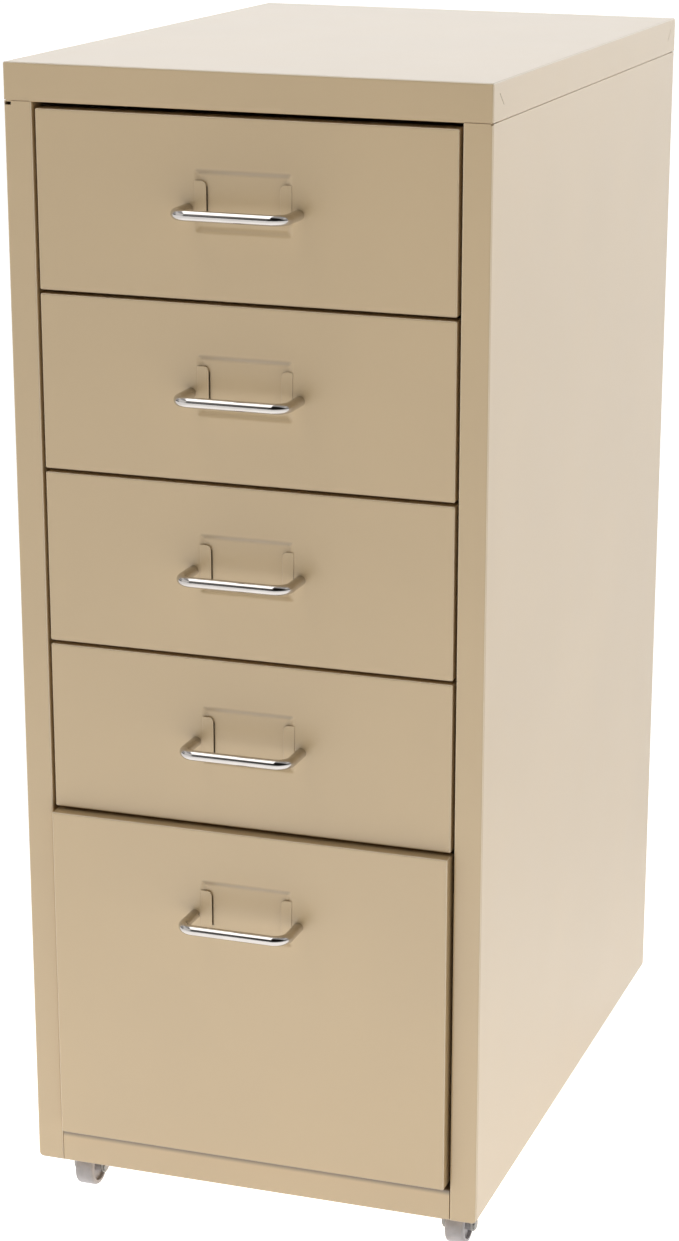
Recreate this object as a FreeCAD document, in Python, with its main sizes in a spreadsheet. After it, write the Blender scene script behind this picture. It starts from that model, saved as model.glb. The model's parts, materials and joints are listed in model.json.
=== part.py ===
import FreeCAD, Part
import os
from collections import namedtuple
from math import cos, pi, sin

import Sketcher

# Sheet-steel drawer cabinet on swivel casters: four shallow drawers over one deep drawer.
#
# The cabinet stands on the floor at z = 0, faces -Y, and is centred on x = 0. Every object is drawn
# in the cabinet's own plan: local y = 0 is the front plane of the carcass, and the Placement moves
# that plane so that the middle of the whole cabinet, pulls included, is at y = 0.
# A drawer's pieces are drawn with z = 0 at the bottom edge of the drawer's front.

# Driving dimensions in millimetres.
DIMENSIONS = {
    # carcass
    "body_width": 280.0,
    "body_depth": 410.0,
    "body_height": 660.0,
    "steel": 0.6,
    "lid_lip": 20.5,
    "lid_seam": 0.5,
    "lid_overhang": 1.0,
    "lid_fold": 1.0,
    "slit_width": 0.7,
    "slit_front": 11.0,
    "slit_back": 19.0,
    "slit_top": 6.0,
    "slit_bottom": 12.8,
    "post_width": 16.5,
    "post_return": 12.0,
    "post_fold": 1.2,
    "foot_fold": 3.0,
    "foot_flange": 7.0,
    "notch_width": 4.4,
    "notch_height": 2.2,
    "notch_depth": 1.0,
    "upstand_height": 15.0,
    "rail_height": 20.0,
    "rail_depth": 14.0,
    "rail_setback": 0.3,
    "rail_gap": 0.3,
    "header_height": 17.0,
    "header_inset": 1.3,
    "pan_lip": 10.0,
    # drawer runners
    "runner_steel": 1.0,
    "runner_step": 6.0,
    "runner_drop": 12.0,
    "runner_clearance": 2.0,
    "guide_play": 0.7,
    "ledge_reach": 7.5,
    "slide_play": 0.2,
    # drawers
    "front_width": 243.0,
    "front_depth": 12.0,
    "front_fold": 1.0,
    "front_rim": 10.0,
    "shallow_front": 99.8,
    "deep_front": 206.5,
    "front_gap": 2.0,
    "bottom_ajar": 6.0,
    "tray_width": 239.0,
    "tray_depth": 372.0,
    "tray_lift": 6.0,
    "tray_headroom": 12.0,
    "tray_fold": 1.5,
    "hem_height": 5.0,
    # pressed label recess and its two lanced tabs
    "recess_width": 56.0,
    "recess_above": 21.5,
    "recess_below": 12.5,
    "recess_depth": 1.2,
    "recess_slope": 65.0,
    "recess_backing": 0.8,
    "recess_corner": 3.0,
    "recess_soften": 3.5,
    "tab_width": 6.6,
    "tab_above": 15.5,
    "tab_below": 6.0,
    "tab_raise": 0.3,
    "tab_corner": 3.0,
    "tab_edge": 0.2,
    "lance_slot": 0.4,
    "lance_cover": 1.5,
    # wire pulls and their screws
    "pull_span": 64.0,
    "pull_reach": 24.0,
    "pull_wire": 6.0,
    "pull_bend": 8.0,
    "shallow_pull_drop": 49.9,
    "deep_pull_drop": 52.5,
    "screw_shank": 4.0,
    "screw_length": 9.0,
    "screw_head": 6.0,
    "screw_head_height": 2.2,
    "screw_play": 0.2,
    # casters
    "caster_height": 30.0,
    "front_caster_inset": 20.0,
    "rear_caster_inset": 24.0,
    "caster_end_inset": 43.0,
    "caster_trail": 10.0,
    "wheel_diameter": 25.0,
    "wheel_width": 12.0,
    "wheel_round": 1.6,
    "wheel_recess": 2.0,
    "wheel_rim": 2.8,
    "hub_diameter": 8.0,
    "hub_width": 15.4,
    "axle_diameter": 4.0,
    "axle_play": 0.06,
    "axle_head": 7.0,
    "axle_head_height": 1.0,
    "fork_inside": 16.0,
    "fork_steel": 1.4,
    "fork_disc": 22.0,
    "fork_leg": 9.0,
    "fork_heel": 6.0,
    "fork_bottom": 25.8,
    "swivel_play": 0.3,
    "ring_height": 1.5,
    "plate_diameter": 24.0,
    "plate_height": 1.5,
    "pivot_diameter": 8.0,
    "pivot_play": 0.05,
    "pivot_head": 9.6,
    "pivot_head_height": 1.2,
    "stem_length": 13.0,
    "stem_hole": 8.4,
    "nut_circumradius": 7.5,
    "nut_height": 6.5,
    # blind rivets in the back flanges
    "rivet_inset": 9.0,
    "rivet_first": 60.0,
    "rivet_pitch": 160.0,
    "rivet_shank": 3.2,
    "rivet_head": 6.4,
    "rivet_head_height": 0.9,
}

SHALLOW_DRAWERS = 4
RIVETS_PER_SIDE = 4
LEFT, RIGHT = -1, 1
SIDE_NAMES = {LEFT: "left", RIGHT: "right"}
NEAR = 0.01

# Levels and planes that several pieces share, as expressions on the sheet.
BODY_BOTTOM = "(dims.caster_height)"
BODY_TOP = "(dims.caster_height + dims.body_height)"
LID_BOTTOM = f"({BODY_TOP} - dims.lid_lip)"
PANEL_TOP = f"({LID_BOTTOM} - dims.lid_seam)"
FLOOR_PAN = f"({BODY_BOTTOM} + dims.steel)"
PULLS_PROUD = "(dims.pull_reach + dims.pull_wire / 2 + dims.bottom_ajar)"
FRONT_PLANE = f"((-dims.body_depth - dims.lid_overhang + {PULLS_PROUD}) / 2)"
PLATE_BOTTOM = f"({FLOOR_PAN} - dims.plate_height)"
RING_BOTTOM = f"({PLATE_BOTTOM} - dims.ring_height)"
FORK_TOP = "(dims.fork_bottom + dims.fork_steel)"

Circle = namedtuple("Circle", "x y diameter")
Drawer = namedtuple("Drawer", "number height pull_drop bottom ajar")


def add_dimensions(doc):
    sheet = doc.addObject("Spreadsheet::Sheet", "dims")
    for row, (alias, value) in enumerate(DIMENSIONS.items(), start=1):
        sheet.set(f"A{row}", alias)
        sheet.set(f"B{row}", str(value))
        sheet.setAlias(f"B{row}", alias)
    doc.recompute()


def place(piece, x="0", y=FRONT_PLANE, z="0"):
    for axis, expression in zip("xyz", (x, y, z)):
        piece.setExpression(f"Placement.Base.{axis}", expression)


def new_body(doc, label, **position):
    body = doc.addObject("PartDesign::Body", label)
    body.Label = label
    place(body, **position)
    return body


def across(side, inset):
    """Distance from the middle of the cabinet to a plane that lies inset from one side's outer face."""
    return f"{side} * (dims.body_width / 2 - ({inset}))"


def both_sides(half_width):
    return (f"-({half_width})", f"{half_width}")


def rectangle(first, second):
    (left, right), (low, high) = first, second
    return [(left, low), (right, low), (right, high), (left, high)]


def bind_constraint(sketch, constraint, expression):
    index = sketch.addConstraint(constraint)
    sketch.setExpression(f"Constraints[{index}]", expression)


def bind_point(sketch, geometry, point, start, expressions):
    """Hold one point of a sketch element at a place given by two expressions."""
    for kind, value, expression in zip(("DistanceX", "DistanceY"), start, expressions):
        constraint = Sketcher.Constraint(kind, -1, 1, geometry, point, value)
        bind_constraint(sketch, constraint, expression)


def draw_circle(sketch, circle):
    geometry = sketch.addGeometry(Part.Circle(FreeCAD.Vector(1, 1, 0), FreeCAD.Vector(0, 0, 1), 1), False)
    bind_constraint(sketch, Sketcher.Constraint("Diameter", geometry, 2), circle.diameter)
    bind_point(sketch, geometry, 3, (1, 1), (circle.x, circle.y))


def draw_polygon(sketch, points):
    """Closed outline; it starts as a regular figure, and each corner is bound to its own place."""
    count = len(points)
    first = sketch.GeometryCount
    turns = [2 * pi * index / count for index in range(count)]
    corners = [FreeCAD.Vector(cos(turn), sin(turn), 0) for turn in turns]
    for index in range(count):
        sketch.addGeometry(Part.LineSegment(corners[index], corners[(index + 1) % count]), False)
    for index in range(count):
        following = first + (index + 1) % count
        sketch.addConstraint(Sketcher.Constraint("Coincident", first + index, 2, following, 1))
    for index, point in enumerate(points):
        bind_point(sketch, first + index, 1, (corners[index].x, corners[index].y), point)


def new_sketch(body, name, role, offset="0"):
    plane = next(item for item in body.Origin.OriginFeatures if item.Role == role)
    sketch = body.newObject("Sketcher::SketchObject", name)
    sketch.AttachmentSupport = [(plane, "")]
    sketch.MapMode = "FlatFace"
    sketch.setExpression("AttachmentOffset.Base.z", offset)
    return sketch


def extrude(body, name, role, span, outlines, cut=False):
    """Pad, or pocket if cut, between two limits along the axis at right angles to an origin plane."""
    low, high = span
    # The XZ plane's normal points along -Y, so its sketch starts at the far limit.
    start = f"-({high})" if role == "XZ_Plane" else low
    return extrude_sketch(body, name, role, start, f"({high}) - ({low})", outlines, cut)


def extrude_sketch(body, name, role, start, length, outlines, cut):
    sketch = new_sketch(body, f"{name}_outline", role, start)
    for outline in outlines:
        if isinstance(outline, Circle):
            draw_circle(sketch, outline)
        else:
            draw_polygon(sketch, outline)
    feature = body.newObject("PartDesign::Pocket" if cut else "PartDesign::Pad", name)
    feature.Profile = sketch
    feature.Reversed = cut
    feature.setExpression("Length", length)
    return feature


def press(body, name, depth, outline, cut=False):
    """Form pressed into a sheet from its front plane, with walls that slope inward."""
    feature = extrude_sketch(body, name, "XZ_Plane", "0", depth, [outline], cut)
    feature.Reversed = not cut
    feature.setExpression("TaperAngle", "-dims.recess_slope")


def block(body, name, x, y, z, cut=False):
    """Rectangular block between three pairs of limits."""
    return extrude(body, name, "XY_Plane", z, [rectangle(x, y)], cut)


def lies_on(item, side, level):
    axis = side[0]
    box = item.BoundBox
    reach = (getattr(box, f"{axis}Min"), getattr(box, f"{axis}Max"))
    return all(abs(value - level) < NEAR for value in reach)


def names_on(kind, items, whole, sides):
    """Names of a shape's edges or faces that lie on all the given sides of its bounding box."""
    levels = [(side, getattr(whole, side)) for side in sides]
    return [
        f"{kind}{number}"
        for number, item in enumerate(items, start=1)
        if all(lies_on(item, side, level) for side, level in levels)
    ]


def round_edges(body, name, radius, *corners):
    """Fillet the tip's edges; each corner names the sides of the bounding box that its edges lie on."""
    base = body.Tip
    base.Document.recompute()
    shape = base.Shape
    edges = set()
    for sides in corners:
        edges.update(names_on("Edge", shape.Edges, shape.BoundBox, sides))
    fillet = body.newObject("PartDesign::Fillet", name)
    fillet.Base = (base, sorted(edges))
    fillet.setExpression("Radius", radius)


def open_shell(body, name, side):
    """Turn the solid so far into sheet steel that is open on one side."""
    base = body.Tip
    base.Document.recompute()
    shape = base.Shape
    shell = body.newObject("PartDesign::Thickness", name)
    shell.Base = (base, names_on("Face", shape.Faces, shape.BoundBox, (side,)))
    shell.Reversed = True
    shell.setExpression("Value", "dims.steel")


def top_cover(doc):
    """Shoebox lid: its lips are flush with the side panels and stand a little proud at the back."""
    body = new_body(doc, "top_cover")
    depth = ("0", "dims.body_depth + dims.lid_overhang")
    block(body, "lid", both_sides("dims.body_width / 2"), depth, (LID_BOTTOM, BODY_TOP))
    uprights = [(x_side, y_side) for x_side in ("XMin", "XMax") for y_side in ("YMin", "YMax")]
    round_edges(body, "folds", "dims.lid_fold", ("ZMax",), *uprights)
    open_shell(body, "shell", "ZMin")
    for side in (LEFT, RIGHT):
        skin = [across(side, "dims.steel"), across(side, "0")][::side]
        extrude(body, f"{SIDE_NAMES[side]}_slits", "YZ_Plane", skin, corner_slits(), cut=True)
    return body


def corner_slits():
    """Mitre slit near the front and the back end of a side lip, each leaning away from its corner."""
    level = (f"{BODY_TOP} - dims.slit_bottom", f"{BODY_TOP} - dims.slit_top")
    front = [
        ("dims.slit_back", level[0]),
        ("dims.slit_back + dims.slit_width", level[0]),
        ("dims.slit_front + dims.slit_width", level[1]),
        ("dims.slit_front", level[1]),
    ]
    back = [(f"dims.body_depth + dims.lid_overhang - ({y})", z) for y, z in front]
    return [front, back]


def side_panel(doc, side):
    """Side wall folded into a front post with a return, back and bottom flanges and a joggled top edge."""
    wall, mouth = ("XMin", "XMax") if side == LEFT else ("XMax", "XMin")
    body = new_body(doc, f"{SIDE_NAMES[side]}_side_panel")
    outer = across(side, "0")
    inner = across(side, "dims.post_width")
    outer_skin = across(side, "dims.steel")
    inner_skin = across(side, "dims.post_width - dims.steel")
    sole = f"({BODY_BOTTOM} + dims.steel)"
    ceiling = f"({PANEL_TOP} - dims.steel)"
    back_skin = "dims.body_depth - dims.steel"
    block(body, "panel", (outer, inner), ("0", "dims.body_depth"), (BODY_BOTTOM, PANEL_TOP))
    round_edges(body, "foot", "dims.foot_fold", (wall, "ZMin"))
    round_edges(body, "folds", "dims.post_fold", (wall, "YMin"), (mouth, "YMin"), (wall, "YMax"))
    # The hollow leans clear of the rounded foot, so that the sheet stays whole there.
    hollow = [
        (outer_skin, f"{BODY_BOTTOM} + dims.foot_fold"),
        (across(side, "dims.foot_fold"), sole),
        (inner_skin, sole),
        (inner_skin, ceiling),
        (outer_skin, ceiling),
    ]
    extrude(body, "hollow", "XZ_Plane", ("dims.steel", back_skin), [hollow], cut=True)
    behind_post = ("dims.post_return", back_skin)
    block(body, "mouth", (inner_skin, inner), behind_post, (BODY_BOTTOM, ceiling), cut=True)
    # Behind the post the bottom flange is narrow, to leave room for the casters' plates.
    flange_edge = across(side, "dims.foot_flange")
    block(body, "caster_room", (flange_edge, inner_skin), behind_post, (BODY_BOTTOM, sole), cut=True)
    # The corner relief is wide open on the left and all but closed on the right.
    relief = "1" if side == LEFT else "0.3"
    block(
        body,
        "corner_relief",
        (outer, across(side, f"dims.notch_width * {relief}")),
        ("0", "dims.notch_depth"),
        (f"{PANEL_TOP} - dims.notch_height * {relief}", PANEL_TOP),
        cut=True,
    )
    block(
        body,
        "upstand",
        (outer_skin, across(side, "2 * dims.steel")),
        ("dims.post_return", "dims.body_depth - dims.post_return"),
        (PANEL_TOP, f"{PANEL_TOP} + dims.upstand_height"),
    )
    drill_rivet_holes(body, (side,), (back_skin, "dims.body_depth"))
    return body


def rivet_height(index):
    return f"{BODY_BOTTOM} + dims.rivet_first + {index} * dims.rivet_pitch"


def drill_rivet_holes(body, sides, span):
    holes = [
        Circle(across(side, "dims.rivet_inset"), rivet_height(index), "dims.rivet_shank")
        for side in sides
        for index in range(RIVETS_PER_SIDE)
    ]
    extrude(body, "rivet_holes", "XZ_Plane", span, holes, cut=True)


def back_panel(doc):
    """Flat sheet inside the back flanges of the side panels, ending above their rounded feet."""
    body = new_body(doc, "back_panel")
    half = both_sides("dims.body_width / 2 - dims.steel")
    span = ("dims.body_depth - 2 * dims.steel", "dims.body_depth - dims.steel")
    block(body, "sheet", half, span, (f"{BODY_BOTTOM} + dims.foot_fold", f"{PANEL_TOP} - dims.steel"))
    drill_rivet_holes(body, (LEFT, RIGHT), span)
    return body


def caster_spots():
    """Label prefix and swivel axis of each caster, measured in the cabinet's plan."""
    ends = {
        "front": ("dims.front_caster_inset", "dims.caster_end_inset"),
        "rear": ("dims.rear_caster_inset", "dims.body_depth - dims.caster_end_inset"),
    }
    return [
        (f"{end}_{SIDE_NAMES[side]}", across(side, inset), y)
        for end, (inset, y) in ends.items()
        for side in (LEFT, RIGHT)
    ]


def bottom_panel(doc):
    """Shallow open tray on the bottom flanges of the side panels, drilled for the caster stems."""
    body = new_body(doc, "bottom_panel")
    half = both_sides("dims.body_width / 2 - dims.foot_fold")
    depth = ("dims.rail_depth + dims.rail_setback", "dims.body_depth - 2 * dims.steel")
    block(body, "pan", half, depth, (FLOOR_PAN, f"{FLOOR_PAN} + dims.pan_lip"))
    round_edges(body, "folds", "dims.lid_fold", ("ZMin",))
    open_shell(body, "shell", "ZMax")
    holes = [Circle(x, y, "dims.stem_hole") for _, x, y in caster_spots()]
    extrude(body, "stem_holes", "XY_Plane", (FLOOR_PAN, f"{FLOOR_PAN} + dims.steel"), holes, cut=True)
    return body


def front_bottom_rail(doc):
    """Channel that closes the front below the deep drawer, between the two posts."""
    body = new_body(doc, "front_bottom_rail")
    half = both_sides("dims.body_width / 2 - dims.post_width - dims.rail_gap")
    depth = ("dims.rail_setback", "dims.rail_setback + dims.rail_depth")
    block(body, "channel", half, depth, (BODY_BOTTOM, f"{BODY_BOTTOM} + dims.rail_height"))
    round_edges(body, "folds", "dims.lid_fold", ("YMin", "ZMin"), ("YMin", "ZMax"))
    open_shell(body, "shell", "YMax")
    return body


def front_top_rail(doc):
    """Channel behind the front lip of the lid, resting on the top flanges of the side panels."""
    body = new_body(doc, "front_top_rail")
    half = both_sides("dims.body_width / 2 - dims.header_inset")
    depth = ("dims.steel", "dims.rail_depth")
    block(body, "channel", half, depth, (PANEL_TOP, f"{PANEL_TOP} + dims.header_height"))
    open_shell(body, "shell", "YMax")
    return body


def runner(doc, side, drawer):
    """Folded runner: a flange on the side panel, a guide step beside the tray and a ledge under it."""
    body = new_body(doc, f"{SIDE_NAMES[side]}_runner_{drawer.number}", z=drawer.bottom)
    wall = across(side, "dims.steel")
    wall_skin = across(side, "dims.steel + dims.runner_steel")
    guide = f"{side} * (dims.tray_width / 2 + dims.guide_play)"
    guide_skin = f"{side} * (dims.tray_width / 2 + dims.guide_play + dims.runner_steel)"
    toe = f"{side} * (dims.tray_width / 2 - dims.ledge_reach)"
    ledge = "(dims.tray_lift - dims.slide_play)"
    step = f"({ledge} + dims.runner_step)"
    outline = [
        (wall, step),
        (guide, step),
        (guide, ledge),
        (toe, ledge),
        (toe, f"{ledge} - dims.runner_steel"),
        (guide_skin, f"{ledge} - dims.runner_steel"),
        (guide_skin, f"{step} - dims.runner_steel"),
        (wall_skin, f"{step} - dims.runner_steel"),
        (wall_skin, f"{ledge} - dims.runner_drop"),
        (wall, f"{ledge} - dims.runner_drop"),
    ]
    span = (
        "dims.post_return + dims.runner_clearance",
        "dims.body_depth - dims.post_return - dims.runner_clearance",
    )
    extrude(body, "profile", "XZ_Plane", span, [outline])
    return body


def drawers():
    """The drawers from the top one down, with their heights and the level of each front's lower edge."""
    base = f"({BODY_BOTTOM} + dims.rail_height + dims.front_gap)"
    stack = f"({base} + dims.deep_front + dims.front_gap)"
    pitch = "(dims.shallow_front + dims.front_gap)"
    rows = [
        Drawer(
            number,
            "dims.shallow_front",
            "dims.shallow_pull_drop",
            f"({stack} + {SHALLOW_DRAWERS - number} * {pitch})",
            "0",
        )
        for number in range(1, SHALLOW_DRAWERS + 1)
    ]
    deep = Drawer(SHALLOW_DRAWERS + 1, "dims.deep_front", "dims.deep_pull_drop", base, "dims.bottom_ajar")
    return rows + [deep]


def drawer_position(drawer):
    return {"y": f"{FRONT_PLANE} - {drawer.ajar}", "z": drawer.bottom}


def drawer_front(doc, drawer):
    """Folded front shell with a rim behind, the pressed label recess, its tabs and two screw holes."""
    body = new_body(doc, f"drawer_{drawer.number}_front", **drawer_position(drawer))
    half = "dims.front_width / 2"
    back = "dims.front_depth"
    block(body, "face", both_sides(half), ("0", back), ("0", drawer.height))
    depth_edges = [(x_side, z_side) for x_side in ("XMin", "XMax") for z_side in ("ZMin", "ZMax")]
    round_edges(body, "folds", "dims.front_fold", ("YMin",), *depth_edges)
    open_shell(body, "shell", "YMax")
    rim, window = (
        rectangle(both_sides(f"({half} - {inset})"), (inset, f"{drawer.height} - {inset}"))
        for inset in ("dims.steel", "dims.front_rim")
    )
    extrude(body, "rim", "XZ_Plane", (f"{back} - dims.steel", back), [rim, window])
    press_recess(body, f"({drawer.height} - {drawer.pull_drop})")
    return body


def press_recess(body, axis):
    """Press the label recess around the height of the pull's axis, and lance its two tabs."""
    half = "dims.recess_width / 2"
    low, high = f"{axis} - dims.recess_below", f"{axis} + dims.recess_above"
    backing = "dims.recess_backing"
    bump = rectangle(both_sides(f"({half} + {backing})"), (f"{low} - {backing}", f"{high} + {backing}"))
    press(body, "recess_back", "dims.recess_depth + dims.steel", bump)
    press(body, "recess", "dims.recess_depth", rectangle(both_sides(half), (low, high)), cut=True)
    soften_recess(body)
    for side in (LEFT, RIGHT):
        add_tab(body, side, axis)
    round_edges(body, "tab_edges", "dims.tab_edge", ("YMin",))
    screw_hole = "dims.screw_shank + 2 * dims.screw_play"
    holes = [Circle(f"{side} * dims.pull_span / 2", axis, screw_hole) for side in (LEFT, RIGHT)]
    extrude(body, "screw_holes", "XZ_Plane", ("0", "dims.steel"), holes, cut=True)


def soften_recess(body):
    """Round the corners of the recess, then the loops where its walls meet the face and the floor."""
    depth = DIMENSIONS["recess_depth"]
    fillet_between(body, "recess_corners", "dims.recess_corner", 0, depth)
    fillet_between(body, "recess_rim", "dims.recess_soften", 0, 0)
    fillet_between(body, "recess_floor", "dims.recess_soften", depth, depth)


def fillet_between(body, name, radius, front, back):
    """Fillet the edges inside the recess that run exactly from one depth to another."""
    base = body.Tip
    base.Document.recompute()
    reach = DIMENSIONS["recess_width"] / 2 + NEAR
    edges = [
        f"Edge{number}"
        for number, edge in enumerate(base.Shape.Edges, start=1)
        if abs(edge.BoundBox.YMin - front) < NEAR
        and abs(edge.BoundBox.YMax - back) < NEAR
        and -reach < edge.BoundBox.XMin
        and edge.BoundBox.XMax < reach
    ]
    fillet = body.newObject("PartDesign::Fillet", name)
    fillet.Base = (base, edges)
    fillet.setExpression("Radius", radius)


def add_tab(body, side, axis):
    """Upright tab along one side of the recess, its inner top corner rounded, lanced free along a slot."""
    edge = f"{side} * dims.recess_width / 2"
    tip = f"{side} * (dims.recess_width / 2 - dims.tab_width)"
    turn = f"{side} * (dims.recess_width / 2 - dims.tab_width + dims.tab_corner)"
    low, high = f"{axis} - dims.tab_below", f"{axis} + dims.tab_above"
    shoulder = f"({high} - dims.tab_corner)"
    outlines = {
        "blade": rectangle((edge, tip), (low, shoulder)),
        "shoulder": rectangle((edge, turn), (shoulder, high)),
        "corner": Circle(turn, shoulder, "2 * dims.tab_corner"),
    }
    for name, outline in outlines.items():
        span = ("-dims.tab_raise", "dims.steel - dims.tab_raise")
        extrude(body, f"{SIDE_NAMES[side]}_tab_{name}", "XZ_Plane", span, [outline])
    covered = f"({tip} + {side} * dims.lance_cover)"
    slot = rectangle((covered, f"({tip} - {side} * dims.lance_slot)"), (low, shoulder))
    floor = ("dims.recess_depth", "dims.recess_depth + dims.steel")
    extrude(body, f"{SIDE_NAMES[side]}_tab_slot", "XZ_Plane", floor, [slot], cut=True)


def drawer_tray(doc, drawer):
    """Folded tray behind the front, open on top, with a hem inside its rim."""
    body = new_body(doc, f"drawer_{drawer.number}_tray", **drawer_position(drawer))
    half = "dims.tray_width / 2"
    start = "dims.front_depth"
    end = "(dims.front_depth + dims.tray_depth)"
    rim = f"({drawer.height} - dims.tray_headroom)"
    block(body, "tray", both_sides(half), (start, end), ("dims.tray_lift", rim))
    uprights = [(x_side, y_side) for x_side in ("XMin", "XMax") for y_side in ("YMin", "YMax")]
    round_edges(body, "folds", "dims.tray_fold", ("ZMin",), *uprights)
    open_shell(body, "shell", "ZMax")
    outside, inside = (
        rectangle(both_sides(f"({half} - {inset})"), (f"{start} + {inset}", f"{end} - {inset}"))
        for inset in ("dims.steel", "2 * dims.steel")
    )
    extrude(body, "hem", "XY_Plane", (f"{rim} - dims.hem_height", rim), [outside, inside])
    return body


def pull_position(drawer):
    return {
        "y": f"{FRONT_PLANE} - {drawer.ajar}",
        "z": f"{drawer.bottom} + {drawer.height} - {drawer.pull_drop}",
    }


def draw_pull_path(sketch):
    """Centre line of the wire: out from the front, along it, and back, with a bend at each corner."""
    half = DIMENSIONS["pull_span"] / 2
    reach = DIMENSIONS["pull_reach"]
    bend = DIMENSIONS["pull_bend"]
    turn = half - bend
    level = bend - reach
    vector = FreeCAD.Vector
    up = vector(0, 0, 1)
    sketch.addGeometry(Part.LineSegment(vector(-half, 0, 0), vector(-half, level, 0)), False)
    left_bend = Part.Circle(vector(-turn, level, 0), up, bend)
    sketch.addGeometry(Part.ArcOfCircle(left_bend, pi, 1.5 * pi), False)
    sketch.addGeometry(Part.LineSegment(vector(-turn, -reach, 0), vector(turn, -reach, 0)), False)
    right_bend = Part.Circle(vector(turn, level, 0), up, bend)
    sketch.addGeometry(Part.ArcOfCircle(right_bend, 1.5 * pi, 2 * pi), False)
    sketch.addGeometry(Part.LineSegment(vector(half, level, 0), vector(half, 0, 0)), False)
    left_leg, left_arc, bar, right_arc, right_leg = range(5)
    for first, second in ((left_leg, left_arc), (left_arc, bar), (bar, right_arc), (right_arc, right_leg)):
        sketch.addConstraint(Sketcher.Constraint("Tangent", first, 2, second, 1))
    sketch.addConstraint(Sketcher.Constraint("Equal", left_arc, right_arc))
    sketch.addConstraint(Sketcher.Constraint("Vertical", left_leg))
    sketch.addConstraint(Sketcher.Constraint("Horizontal", bar))
    sketch.addConstraint(Sketcher.Constraint("PointOnObject", left_leg, 1, -1))
    sketch.addConstraint(Sketcher.Constraint("PointOnObject", right_leg, 2, -1))
    bind_constraint(sketch, Sketcher.Constraint("Radius", left_arc, bend), "dims.pull_bend")
    for kind, element, point, value, expression in (
        ("DistanceX", left_leg, 1, -half, "-dims.pull_span / 2"),
        ("DistanceX", right_leg, 2, half, "dims.pull_span / 2"),
        ("DistanceY", bar, 1, -reach, "-dims.pull_reach"),
    ):
        bind_constraint(sketch, Sketcher.Constraint(kind, -1, 1, element, point, value), expression)


def drawer_handle(doc, drawer):
    """Fixed wire pull, bored at the foot of each leg for its screw."""
    body = new_body(doc, f"drawer_{drawer.number}_handle", **pull_position(drawer))
    path = new_sketch(body, "path", "XY_Plane")
    draw_pull_path(path)
    section = new_sketch(body, "section", "XZ_Plane")
    draw_circle(section, Circle("-dims.pull_span / 2", "0", "dims.pull_wire"))
    doc.recompute()
    wire = body.newObject("PartDesign::AdditivePipe", "wire")
    wire.Profile = section
    wire.Spine = (path, [])
    bore = "dims.screw_shank + dims.screw_play"
    bores = [Circle(f"{side} * dims.pull_span / 2", "0", bore) for side in (LEFT, RIGHT)]
    extrude(body, "bores", "XZ_Plane", ("-(dims.screw_length + dims.screw_play)", "0"), bores, cut=True)
    return body


def turned_piece(doc, kind, name, **sizes):
    """Part primitive with its sizes bound to expressions."""
    piece = doc.addObject(f"Part::{kind}", name)
    for size, expression in sizes.items():
        piece.setExpression(size, expression)
    return piece


def fuse(doc, name, pieces):
    joined = doc.addObject("Part::MultiFuse", name)
    joined.Shapes = pieces
    return joined


def group(doc, label, pieces, **position):
    compound = doc.addObject("Part::Compound", label)
    compound.Label = label
    compound.Links = pieces
    place(compound, **position)
    return compound


def lay_forward(piece, x, y, z="0"):
    """Turn an upright primitive so that it runs towards -Y from the given place."""
    piece.Placement = FreeCAD.Placement(FreeCAD.Vector(), FreeCAD.Rotation(FreeCAD.Vector(1, 0, 0), 90))
    place(piece, x, y, z)


def handle_screws(doc, drawer):
    """Two machine screws from behind the front sheet into the legs of the pull."""
    screws = []
    for side in (LEFT, RIGHT):
        stem = f"screw_{drawer.number}_{SIDE_NAMES[side]}"
        x = f"{side} * dims.pull_span / 2"
        head = turned_piece(
            doc,
            "Cylinder",
            f"{stem}_head",
            Radius="dims.screw_head / 2",
            Height="dims.screw_head_height",
        )
        lay_forward(head, x, "dims.steel + dims.screw_head_height")
        shank = turned_piece(
            doc,
            "Cylinder",
            f"{stem}_shank",
            Radius="dims.screw_shank / 2",
            Height="dims.steel + dims.screw_length",
        )
        lay_forward(shank, x, "dims.steel")
        screws.append(fuse(doc, stem, [head, shank]))
    return group(doc, f"drawer_{drawer.number}_handle_screws", screws, **pull_position(drawer))


def back_rivets(doc):
    """Blind rivets through the back flanges and the back panel."""
    rivets = []
    for side in (LEFT, RIGHT):
        for index in range(RIVETS_PER_SIDE):
            stem = f"rivet_{SIDE_NAMES[side]}_{index}"
            x = across(side, "dims.rivet_inset")
            # The head sits against the outside of the back flange, so it is widest there.
            head = turned_piece(
                doc,
                "Cone",
                f"{stem}_head",
                Radius1="dims.rivet_head / 4",
                Radius2="dims.rivet_head / 2",
                Height="dims.rivet_head_height",
            )
            lay_forward(head, x, "dims.body_depth + dims.rivet_head_height", rivet_height(index))
            shank = turned_piece(
                doc,
                "Cylinder",
                f"{stem}_shank",
                Radius="dims.rivet_shank / 2",
                Height="2 * dims.steel",
            )
            lay_forward(shank, x, "dims.body_depth", rivet_height(index))
            tail = turned_piece(
                doc,
                "Cylinder",
                f"{stem}_tail",
                Radius="dims.rivet_shank * 0.75",
                Height="dims.rivet_head_height",
            )
            lay_forward(tail, x, "dims.body_depth - 2 * dims.steel", rivet_height(index))
            rivets.append(fuse(doc, stem, [head, shank, tail]))
    return group(doc, "back_rivets", rivets)


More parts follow.
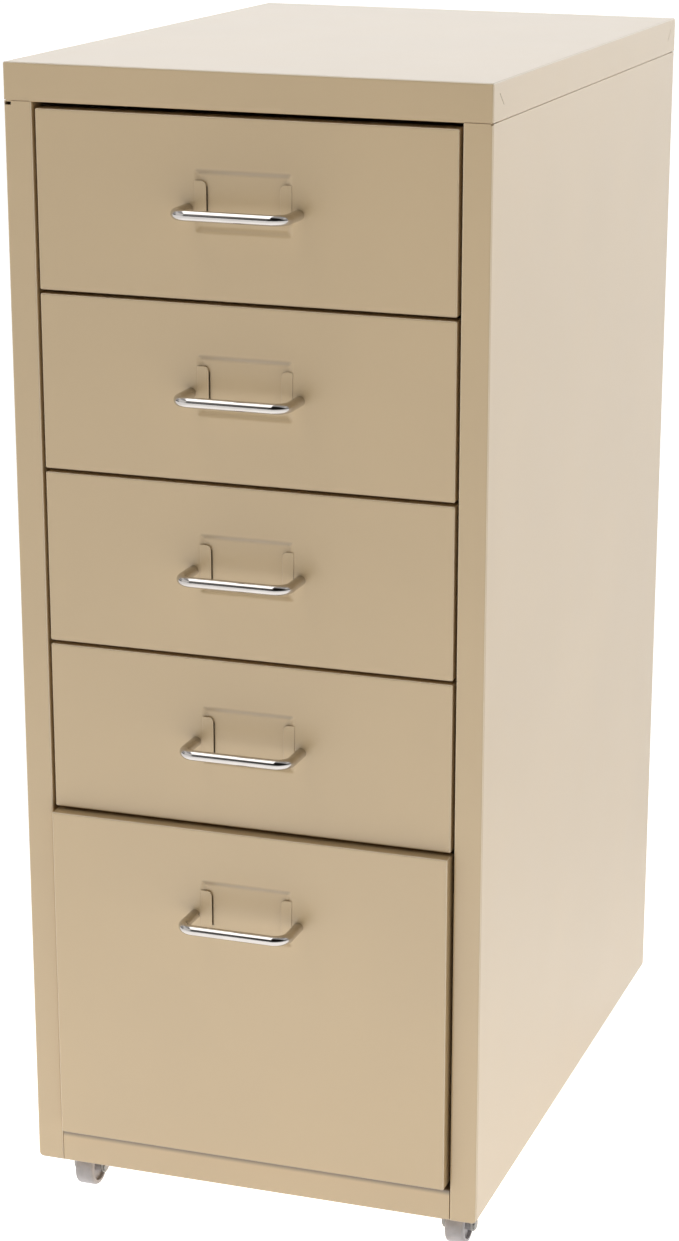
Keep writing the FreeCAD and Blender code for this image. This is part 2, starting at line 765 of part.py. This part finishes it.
def caster_nuts(doc):
    """Hexagon nuts on the stems, above the bottom panel."""
    nuts = []
    for prefix, x, y in caster_spots():
        hexagon = turned_piece(
            doc,
            "Prism",
            f"{prefix}_hexagon",
            Circumradius="dims.nut_circumradius",
            Height="dims.nut_height",
        )
        hexagon.Polygon = 6
        thread = turned_piece(
            doc,
            "Cylinder",
            f"{prefix}_thread",
            Radius="dims.pivot_diameter / 2 + dims.pivot_play",
            Height="dims.nut_height",
        )
        nut = doc.addObject("Part::Cut", f"{prefix}_nut")
        nut.Base = hexagon
        nut.Tool = thread
        place(nut, x, y, f"{FLOOR_PAN} + dims.steel")
        nuts.append(nut)
    return group(doc, "caster_nuts", nuts)


def caster_position(x, y):
    return {"x": x, "y": f"{FRONT_PLANE} + {y}"}


def disc(body, name, diameter, span, cut=False):
    """Round plate or hole on the swivel axis."""
    return extrude(body, name, "XY_Plane", span, [Circle("0", "0", diameter)], cut)


def caster_stem(doc, prefix, x, y):
    """Base plate with the threaded stem above it and the headed swivel pivot below it."""
    body = new_body(doc, f"{prefix}_stem", **caster_position(x, y))
    head_top = "(dims.fork_bottom - dims.swivel_play)"
    disc(body, "plate", "dims.plate_diameter", (PLATE_BOTTOM, FLOOR_PAN))
    disc(body, "thread", "dims.pivot_diameter", (FLOOR_PAN, f"{FLOOR_PAN} + dims.stem_length"))
    disc(body, "pivot", "dims.pivot_diameter", (head_top, PLATE_BOTTOM))
    disc(body, "pivot_head", "dims.pivot_head", (f"{head_top} - dims.pivot_head_height", head_top))
    return body


def swivel_ring(doc, prefix, x, y):
    """Plastic bearing ring pressed against the underside of the base plate."""
    body = new_body(doc, f"{prefix}_swivel_ring", **caster_position(x, y))
    span = (RING_BOTTOM, PLATE_BOTTOM)
    disc(body, "ring", "dims.fork_disc", span)
    disc(body, "bore", "dims.pivot_diameter + 2 * dims.pivot_play", span, cut=True)
    round_edges(body, "edge", "dims.ring_height / 3", ("ZMin",))
    return body


def axle_circle(diameter):
    return Circle("-dims.caster_trail", "dims.wheel_diameter / 2", diameter)


def caster_fork(doc, prefix, x, y):
    """Bent plate: a round crown on the pivot and a tapering leg down each side of the wheel."""
    body = new_body(doc, f"{prefix}_fork", **caster_position(x, y))
    inside = "(dims.fork_inside / 2)"
    outside = f"({inside} + dims.fork_steel)"
    nose = "(-dims.caster_trail - dims.fork_leg / 2)"
    crown = ("dims.fork_bottom", FORK_TOP)
    block(body, "bridge", both_sides(outside), (nose, "dims.fork_heel"), crown)
    leg = [
        (nose, FORK_TOP),
        ("dims.fork_heel", FORK_TOP),
        ("-dims.caster_trail + dims.fork_leg / 2", "dims.wheel_diameter / 2"),
        (nose, "dims.wheel_diameter / 2"),
    ]
    legs = {LEFT: (f"-{outside}", f"-{inside}"), RIGHT: (inside, outside)}
    for side, span in legs.items():
        extrude(body, f"{SIDE_NAMES[side]}_leg", "YZ_Plane", span, [leg])
        extrude(body, f"{SIDE_NAMES[side]}_foot", "YZ_Plane", span, [axle_circle("dims.fork_leg")])
    disc(body, "crown", "dims.fork_disc", crown)
    disc(body, "pivot_hole", "dims.pivot_diameter + 2 * dims.pivot_play", crown, cut=True)
    axle_hole = axle_circle("dims.axle_diameter + dims.axle_play")
    extrude(body, "axle_hole", "YZ_Plane", (f"-{outside}", outside), [axle_hole], cut=True)
    return body


def caster_axle(doc, prefix, x, y):
    """Pin through the fork with a formed head at each end."""
    body = new_body(doc, f"{prefix}_axle", **caster_position(x, y))
    outside = "(dims.fork_inside / 2 + dims.fork_steel)"
    extrude(body, "pin", "YZ_Plane", (f"-{outside}", outside), [axle_circle("dims.axle_diameter")])
    heads = {
        LEFT: (f"-({outside} + dims.axle_head_height)", f"-{outside}"),
        RIGHT: (outside, f"{outside} + dims.axle_head_height"),
    }
    for side, span in heads.items():
        extrude(body, f"{SIDE_NAMES[side]}_head", "YZ_Plane", span, [axle_circle("dims.axle_head")])
    round_edges(body, "heads", "dims.axle_head_height / 2", ("XMin",), ("XMax",))
    return body


def caster_wheel(doc, prefix, x, y):
    """Plastic wheel with a rounded tread, dished sides and a hub that stands out to the fork."""
    body = new_body(doc, f"{prefix}_wheel", **caster_position(x, y))
    half = "(dims.wheel_width / 2)"
    extrude(body, "tyre", "YZ_Plane", (f"-{half}", half), [axle_circle("dims.wheel_diameter")])
    round_edges(body, "tread", "dims.wheel_round", ("XMin",), ("XMax",))
    dish = [axle_circle("dims.wheel_diameter - 2 * dims.wheel_rim"), axle_circle("dims.hub_diameter")]
    spans = {
        LEFT: (f"-{half}", f"-{half} + dims.wheel_recess"),
        RIGHT: (f"{half} - dims.wheel_recess", half),
    }
    for side, span in spans.items():
        extrude(body, f"{SIDE_NAMES[side]}_dish", "YZ_Plane", span, dish, cut=True)
    hub_span = ("-dims.hub_width / 2", "dims.hub_width / 2")
    extrude(body, "hub", "YZ_Plane", hub_span, [axle_circle("dims.hub_diameter")])
    bore = axle_circle("dims.axle_diameter + 2 * dims.axle_play")
    extrude(body, "bore", "YZ_Plane", hub_span, [bore], cut=True)
    return body


def build(doc):
    """Every sub-part of the cabinet, each as one object of the document."""
    add_dimensions(doc)
    carcass = (top_cover, back_panel, bottom_panel, front_bottom_rail, front_top_rail)
    pieces = [make(doc) for make in carcass]
    pieces += [side_panel(doc, side) for side in (LEFT, RIGHT)]
    for drawer in drawers():
        pieces += [runner(doc, side, drawer) for side in (LEFT, RIGHT)]
        pieces += [make(doc, drawer) for make in (drawer_front, drawer_tray, drawer_handle, handle_screws)]
    for prefix, x, y in caster_spots():
        caster_pieces = (caster_stem, swivel_ring, caster_fork, caster_axle, caster_wheel)
        pieces += [make(doc, prefix, x, y) for make in caster_pieces]
    pieces += [caster_nuts(doc), back_rivets(doc)]
    doc.recompute()
    return pieces


def check(doc, pieces):
    failed = [item.Label for item in doc.Objects if {"Invalid", "Error"} & set(item.State)]
    if failed:
        raise RuntimeError(f"objects that failed to recompute: {failed}")
    for piece in pieces:
        if piece.Shape.isNull() or not piece.Shape.isValid():
            raise RuntimeError(f"{piece.Label} has no valid shape")


def write_parts(pieces):
    os.makedirs("parts", exist_ok=True)
    for piece in pieces:
        piece.Shape.exportStep(f"parts/{piece.Label}.step")
        box = piece.Shape.BoundBox
        print(f"{piece.Label}: {len(piece.Shape.Solids)} solid, {piece.Shape.Volume:.0f} mm3, {box}")


document = FreeCAD.newDocument("filing_cabinet")
sub_parts = build(document)
check(document, sub_parts)
write_parts(sub_parts)
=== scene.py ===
import json
from math import cos, radians, sin

import bpy
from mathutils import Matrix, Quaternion, Vector


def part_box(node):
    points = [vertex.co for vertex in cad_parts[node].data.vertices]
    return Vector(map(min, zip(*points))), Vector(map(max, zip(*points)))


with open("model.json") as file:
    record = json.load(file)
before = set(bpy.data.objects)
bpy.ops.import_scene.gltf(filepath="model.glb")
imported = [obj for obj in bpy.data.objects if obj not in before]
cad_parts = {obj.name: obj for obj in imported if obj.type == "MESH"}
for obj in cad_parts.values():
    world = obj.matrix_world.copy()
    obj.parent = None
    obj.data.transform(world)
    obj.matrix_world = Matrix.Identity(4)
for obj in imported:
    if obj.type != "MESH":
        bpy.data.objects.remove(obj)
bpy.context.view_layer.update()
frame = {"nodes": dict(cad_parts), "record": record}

# Sheet-steel drawer cabinet on swivel casters, in a plain studio.
# Metres, in the frame of the CAD model: +Z up, -Y out of the drawer fronts.

NODES = frame["nodes"]
SLOTS = {part["node"]: part["material_slot"] for part in frame["record"]["subparts"]}
AXES = ((1, 0, 0), (0, 1, 0), (0, 0, 1))

# Camera: where it stands, which way it looks, its slight roll, and its lens and shift.
CAMERA_PLACE = (0.5843, -1.6967, 0.8616)
CAMERA_AZIMUTH = 17.34
CAMERA_ELEVATION = 17.82
CAMERA_ROLL = 0.62
LENS = 86.56
SHIFT = (-0.08, 0.06)


def add_camera():
    data = bpy.data.cameras.new("camera")
    data.lens = LENS
    data.shift_x, data.shift_y = SHIFT
    camera = bpy.data.objects.new("camera", data)
    azimuth, elevation = radians(CAMERA_AZIMUTH), radians(CAMERA_ELEVATION)
    ahead = Vector((-sin(azimuth) * cos(elevation), cos(azimuth) * cos(elevation), -sin(elevation)))
    camera.location = CAMERA_PLACE
    level = ahead.to_track_quat("-Z", "Y")
    camera.rotation_euler = (level @ Quaternion((0, 0, 1), radians(CAMERA_ROLL))).to_euler()
    bpy.context.collection.objects.link(camera)
    bpy.context.scene.camera = camera


# Light from all round, by direction. The numbers below are parts of a direction of length 1: how far
# it points right (+X), behind the object (+Y) and up (+Z). A pair says where a light starts to fade
# in or out, and where it has finished.

# Each soft box: its centre, the cosines of the angles off that centre where it starts and where it is
# full, and its strength.
SOFT_BOXES = {
    "front_left": ((-0.74, -0.60, 0.30), 0.86, 0.95, 0.78),
    "left_end": ((-0.88, 0.05, 0.42), 0.92, 0.97, 0.4),
    "right_end": ((0.88, 0.05, 0.42), 0.92, 0.97, 0.4),
}
# A strip overhead that runs from front to back, left of the middle.
STRIP_GLOW = 2.1
STRIP_RIGHT = -0.30
STRIP_EDGE = (0.10, 0.20)
STRIP_UP = (0.60, 0.72)
# A canopy overhead that runs from left to right.
CANOPY_GLOW = 0.45
CANOPY_BEHIND = 0.08
CANOPY_EDGE = (0.38, 0.50)
CANOPY_UP = (0.45, 0.60)
# The backdrop behind the object, up to some height.
BACK_GLOW = 1.62
BACK_UP = (0.33, 0.52)
BACK_BEHIND = (0.1, 0.6)
# The low walls all round, and the room.
HORIZON_GLOW = 0.1
HORIZON_UP = (0.12, 0.30)
ROOM_GLOW = 0.01

# The floor's own light, in metres: a glow all over, and a pool that fades between two distances.
FLOOR_HALF = 12.0
FLOOR_GLOW = 0.54
FLOOR_POOL = 0.42
POOL_PLACE = (0.15, -0.35, 0.0)
POOL_EDGE = (0.25, 1.1)

# What tells a fold of the sheet from a flat face, as parts of the surface's normal, whose length is 1:
# its biggest part along any axis, where a fold is full and where it has ended; its part up, from a
# slope that faces down to a level one; and its part up, from straight down to a slope.
# The folds these numbers find get a painted highlight, and the slopes that face down get painted shade.
FOLD_SQUARENESS = (0.74, 0.88)
FOLD_LEVEL = (-0.42, -0.02)
FOLD_DOWN = (-0.95, -0.85)
# The painted shadow, a dark line along the top of the bottom rail, in metres: the pairs of distances
# below the rail's top edge, above it and behind its face where the line fades, and how far it runs past
# its ends.
SHADE_BELOW = (0.0045, 0.0008)
SHADE_ABOVE = (0.0004, 0.001)
SHADE_BEHIND = (0.010, 0.012)
SHADE_PAST = 0.0002


class Tree:
    """A node tree, with short calls to add nodes and to blend, scale and sum their outputs."""

    def __init__(self, tree):
        self.tree = tree

    def add(self, kind, **inputs):
        """New node, with numbers or sockets by input name."""
        node = self.tree.nodes.new(f"ShaderNode{kind}")
        for name, value in inputs.items():
            self.feed(node.inputs[name.replace("_", " ")], value)
        return node

    def feed(self, socket, value):
        if isinstance(value, bpy.types.NodeSocket):
            self.tree.links.new(value, socket)
        else:
            socket.default_value = value

    def math(self, operation, *values):
        node = self.tree.nodes.new("ShaderNodeMath")
        node.operation = operation
        for socket, value in zip(node.inputs, values):
            self.feed(socket, value)
        return node.outputs["Value"]

    def vector_math(self, operation, vector, other):
        node = self.tree.nodes.new("ShaderNodeVectorMath")
        node.operation = operation
        self.tree.links.new(vector, node.inputs[0])
        node.inputs[1].default_value = other
        return node.outputs["Value"]

    def dot(self, vector, direction):
        return self.vector_math("DOT_PRODUCT", vector, Vector(direction).normalized())

    def spread(self, value, low, high, start=0.3, end=0.7):
        """Goes smoothly from low to high as the value goes from start to end."""
        node = self.add("MapRange", Value=value, From_Min=start, From_Max=end, To_Min=low, To_Max=high)
        node.interpolation_type = "SMOOTHSTEP"
        return node.outputs["Result"]

    def band(self, value, middle, strength, edge):
        """Goes from the strength to 0 as the value leaves the middle on either side."""
        off = self.math("ABSOLUTE", self.math("SUBTRACT", value, middle))
        return self.spread(off, strength, 0, *edge)


def add_world():
    """A white studio: bright behind the object, soft boxes in front and above, dim round the camera."""
    world = bpy.data.worlds.new("studio")
    world.use_nodes = True
    tree = Tree(world.node_tree)
    ray = tree.add("TexCoord").outputs["Generated"]
    right, behind, up = (tree.dot(ray, axis) for axis in AXES)
    glows = [
        tree.spread(tree.dot(ray, centre), 0, strength, start, full)
        for centre, start, full, strength in SOFT_BOXES.values()
    ]
    strip = tree.band(right, STRIP_RIGHT, STRIP_GLOW, STRIP_EDGE)
    glows.append(tree.math("MULTIPLY", strip, tree.spread(up, 0, 1, *STRIP_UP)))
    canopy = tree.band(behind, CANOPY_BEHIND, CANOPY_GLOW, CANOPY_EDGE)
    glows.append(tree.math("MULTIPLY", canopy, tree.spread(up, 0, 1, *CANOPY_UP)))
    backdrop = tree.spread(up, BACK_GLOW, 0, *BACK_UP)
    glows.append(tree.math("MULTIPLY", backdrop, tree.spread(behind, 0, 1, *BACK_BEHIND)))
    glows.append(tree.spread(up, HORIZON_GLOW, 0, *HORIZON_UP))
    total = ROOM_GLOW
    for glow in glows:
        total = tree.math("ADD", glow, total)
    # The camera itself sees plain white.
    seen = tree.add("LightPath").outputs["Is Camera Ray"]
    background = world.node_tree.nodes["Background"]
    background.inputs["Color"].default_value = (1, 1, 1, 1)
    tree.feed(background.inputs["Strength"], tree.math("MAXIMUM", total, seen))
    bpy.context.scene.world = world


class Nodes(Tree):
    """A material's node tree round its main shader."""

    def __init__(self, name):
        self.material = bpy.data.materials.new(name)
        self.material.use_nodes = True
        super().__init__(self.material.node_tree)
        self.shader = self.tree.nodes["Principled BSDF"]

    def set(self, **values):
        for name, value in values.items():
            self.shader.inputs[name.replace("_", " ")].default_value = value

    def join(self, socket, name):
        self.tree.links.new(socket, self.shader.inputs[name])

    def place(self):
        return self.add("TexCoord").outputs["Object"]

    def noise(self, size, detail=2.0):
        """Noise whose features are about size metres across."""
        return self.add("TexNoise", Vector=self.place(), Scale=1 / size, Detail=detail).outputs["Fac"]

    def blend(self, amount, first, second):
        """Colour that goes from first to second, each a socket or a red, green and blue tuple."""
        node = self.tree.nodes.new("ShaderNodeMix")
        node.data_type = "RGBA"
        self.tree.links.new(amount, node.inputs["Factor"])
        for name, value in (("A", first), ("B", second)):
            socket = next(item for item in node.inputs if item.name == name and item.type == "RGBA")
            self.feed(socket, (*value, 1) if isinstance(value, tuple) else value)
        return next(item for item in node.outputs if item.type == "RGBA")

    def mottle(self, mask, first, second):
        """Base colour that wanders between two colours with a noise mask."""
        self.join(self.blend(self.spread(mask, 0, 1), first, second), "Base Color")

    def product(self, factors):
        result = factors[0]
        for factor in factors[1:]:
            result = self.math("MULTIPLY", result, factor)
        return result

    def folds(self):
        """
        Two masks that are 0 on a face square to an axis: the first goes to 1 halfway round a fold
        that faces up or sideways, and the second on a slope that faces down. The first carries a painted
        highlight and the second painted shade.
        """
        normal = self.add("TexCoord").outputs["Normal"]
        parts = [self.dot(normal, axis) for axis in AXES]
        sizes = [self.math("ABSOLUTE", part) for part in parts]
        squareness = self.math("MAXIMUM", self.math("MAXIMUM", *sizes[:2]), sizes[2])
        fold = self.spread(squareness, 1, 0, *FOLD_SQUARENESS)
        level_or_up = self.spread(parts[2], 0, 1, *FOLD_LEVEL)
        not_straight_down = self.spread(parts[2], 0, 1, *FOLD_DOWN)
        slopes_down = self.math("SUBTRACT", not_straight_down, level_or_up)
        return self.math("MULTIPLY", fold, level_or_up), slopes_down

    def grain(self, mask, distance, strength):
        """Bump from a mask, distance metres high."""
        bump = self.add("Bump", Height=mask, Distance=distance, Strength=strength)
        self.join(bump.outputs["Normal"], "Normal")


def rail_shade(nodes):
    """
    Mask of a painted dark line along the top of the front bottom rail. It isn't dirt: it stands in for
    the shadow of the deep drawer that the photograph shows there, and stays when the drawer is open.
    """
    low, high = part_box("front_bottom_rail")
    place = nodes.place()
    across, back, up = (nodes.dot(place, axis) for axis in AXES)
    return nodes.product([
        nodes.spread(up, 0, 1, *(high[2] - below for below in SHADE_BELOW)),
        nodes.spread(up, 1, 0, *(high[2] + above for above in SHADE_ABOVE)),
        nodes.spread(back, 1, 0, *(low[1] + behind for behind in SHADE_BEHIND)),
        nodes.spread(nodes.math("ABSOLUTE", across), 1, 0, high[0], high[0] + SHADE_PAST),
    ])


def powder_coat():
    """
    Satin beige powder coat with a fine orange peel. Painted in, to match the photograph: a painted
    highlight round the folds of the sheet, painted shade on the slopes that face down, and the painted
    shadow line on the bottom rail.
    """
    nodes = Nodes("powder_coat_beige")
    tint = nodes.spread(nodes.noise(0.12, 3), 0, 1)
    pale, deep = nodes.folds()
    colour = nodes.blend(tint, (0.590, 0.425, 0.222), (0.616, 0.444, 0.232))
    # Painted shade on the slopes that face down.
    colour = nodes.blend(deep, colour, (0.36, 0.25, 0.125))
    # A painted highlight round the folds of the sheet.
    colour = nodes.blend(pale, colour, (0.86, 0.74, 0.55))
    # The painted shadow of the deep drawer along the top of the bottom rail.
    nodes.join(nodes.blend(rail_shade(nodes), colour, (0.15, 0.10, 0.05)), "Base Color")
    nodes.set(Specular_IOR_Level=0.95, Coat_Weight=1.0, Coat_Roughness=0.4)
    nodes.join(nodes.spread(nodes.noise(0.03, 4), 0.395, 0.415), "Roughness")
    nodes.grain(nodes.noise(0.0011), 0.00005, 0.35)
    return nodes.material


def chrome():
    """Polished chrome plate with faint smudges."""
    nodes = Nodes("chrome_plate")
    nodes.set(Metallic=1.0)
    smudge = nodes.noise(0.012, 4)
    nodes.mottle(smudge, (0.565, 0.535, 0.51), (0.605, 0.575, 0.55))
    nodes.join(nodes.spread(smudge, 0.045, 0.11), "Roughness")
    nodes.grain(nodes.noise(0.0015, 3), 0.00001, 0.25)
    return nodes.material


def zinc():
    """Zinc plate, dulled and mottled, its colour painted dark as shade for the casters under the
    cabinet.
    """
    nodes = Nodes("zinc_plate")
    nodes.set(Metallic=1.0)
    mottle = nodes.noise(0.003, 5)
    # The dark colours are painted shade for the casters that sit under the cabinet.
    nodes.mottle(mottle, (0.24, 0.24, 0.235), (0.36, 0.355, 0.34))
    nodes.join(nodes.spread(mottle, 0.28, 0.48), "Roughness")
    nodes.grain(nodes.noise(0.0006, 3), 0.00002, 0.4)
    return nodes.material


def black_nylon():
    """Moulded black nylon with a fine grain."""
    nodes = Nodes("nylon_black")
    grain = nodes.noise(0.0008, 3)
    nodes.mottle(grain, (0.020, 0.020, 0.021), (0.035, 0.034, 0.033))
    nodes.join(nodes.spread(grain, 0.5, 0.65), "Roughness")
    nodes.grain(grain, 0.00003, 0.5)
    return nodes.material


def grey_plastic():
    """Moulded grey plastic with faint scuffs."""
    nodes = Nodes("wheel_plastic_grey")
    scuff = nodes.noise(0.006, 4)
    nodes.mottle(scuff, (0.36, 0.345, 0.35), (0.43, 0.41, 0.42))
    nodes.join(nodes.spread(nodes.spread(scuff, 0, 1), 0.38, 0.52), "Roughness")
    nodes.grain(nodes.noise(0.0012, 3), 0.00003, 0.4)
    return nodes.material


def pale_floor():
    """A flat white floor that glows: evenly all over, and brighter in a pool in front of the object."""
    nodes = Nodes("floor_pale")
    white = (1, 1, 1, 1)
    nodes.set(Base_Color=(0.8, 0.8, 0.8, 1), Roughness=0.9, Specular_IOR_Level=0.1, Emission_Color=white)
    away = nodes.vector_math("DISTANCE", nodes.place(), POOL_PLACE)
    pool = nodes.spread(away, FLOOR_POOL, 0, *POOL_EDGE)
    nodes.join(nodes.math("ADD", pool, FLOOR_GLOW), "Emission Strength")
    return nodes.material


FINISHES = {
    "powder_coat": powder_coat,
    "chrome_wire": chrome,
    "zinc_steel": zinc,
    "black_nylon": black_nylon,
    "grey_plastic": grey_plastic,
}


def paint_nodes():
    finishes = {slot: make() for slot, make in FINISHES.items()}
    for name, piece in NODES.items():
        for spot in piece.material_slots:
            spot.material = finishes[SLOTS[name]]


def add_floor():
    corners = [(x * FLOOR_HALF, y * FLOOR_HALF, 0) for x, y in ((-1, -1), (1, -1), (1, 1), (-1, 1))]
    mesh = bpy.data.meshes.new("floor")
    mesh.from_pydata(corners, [], [(0, 1, 2, 3)])
    mesh.materials.append(pale_floor())
    floor = bpy.data.objects.new("floor", mesh)
    bpy.context.collection.objects.link(floor)


bpy.context.scene.view_settings.view_transform = "Standard"
add_camera()
add_world()
add_floor()
paint_nodes()
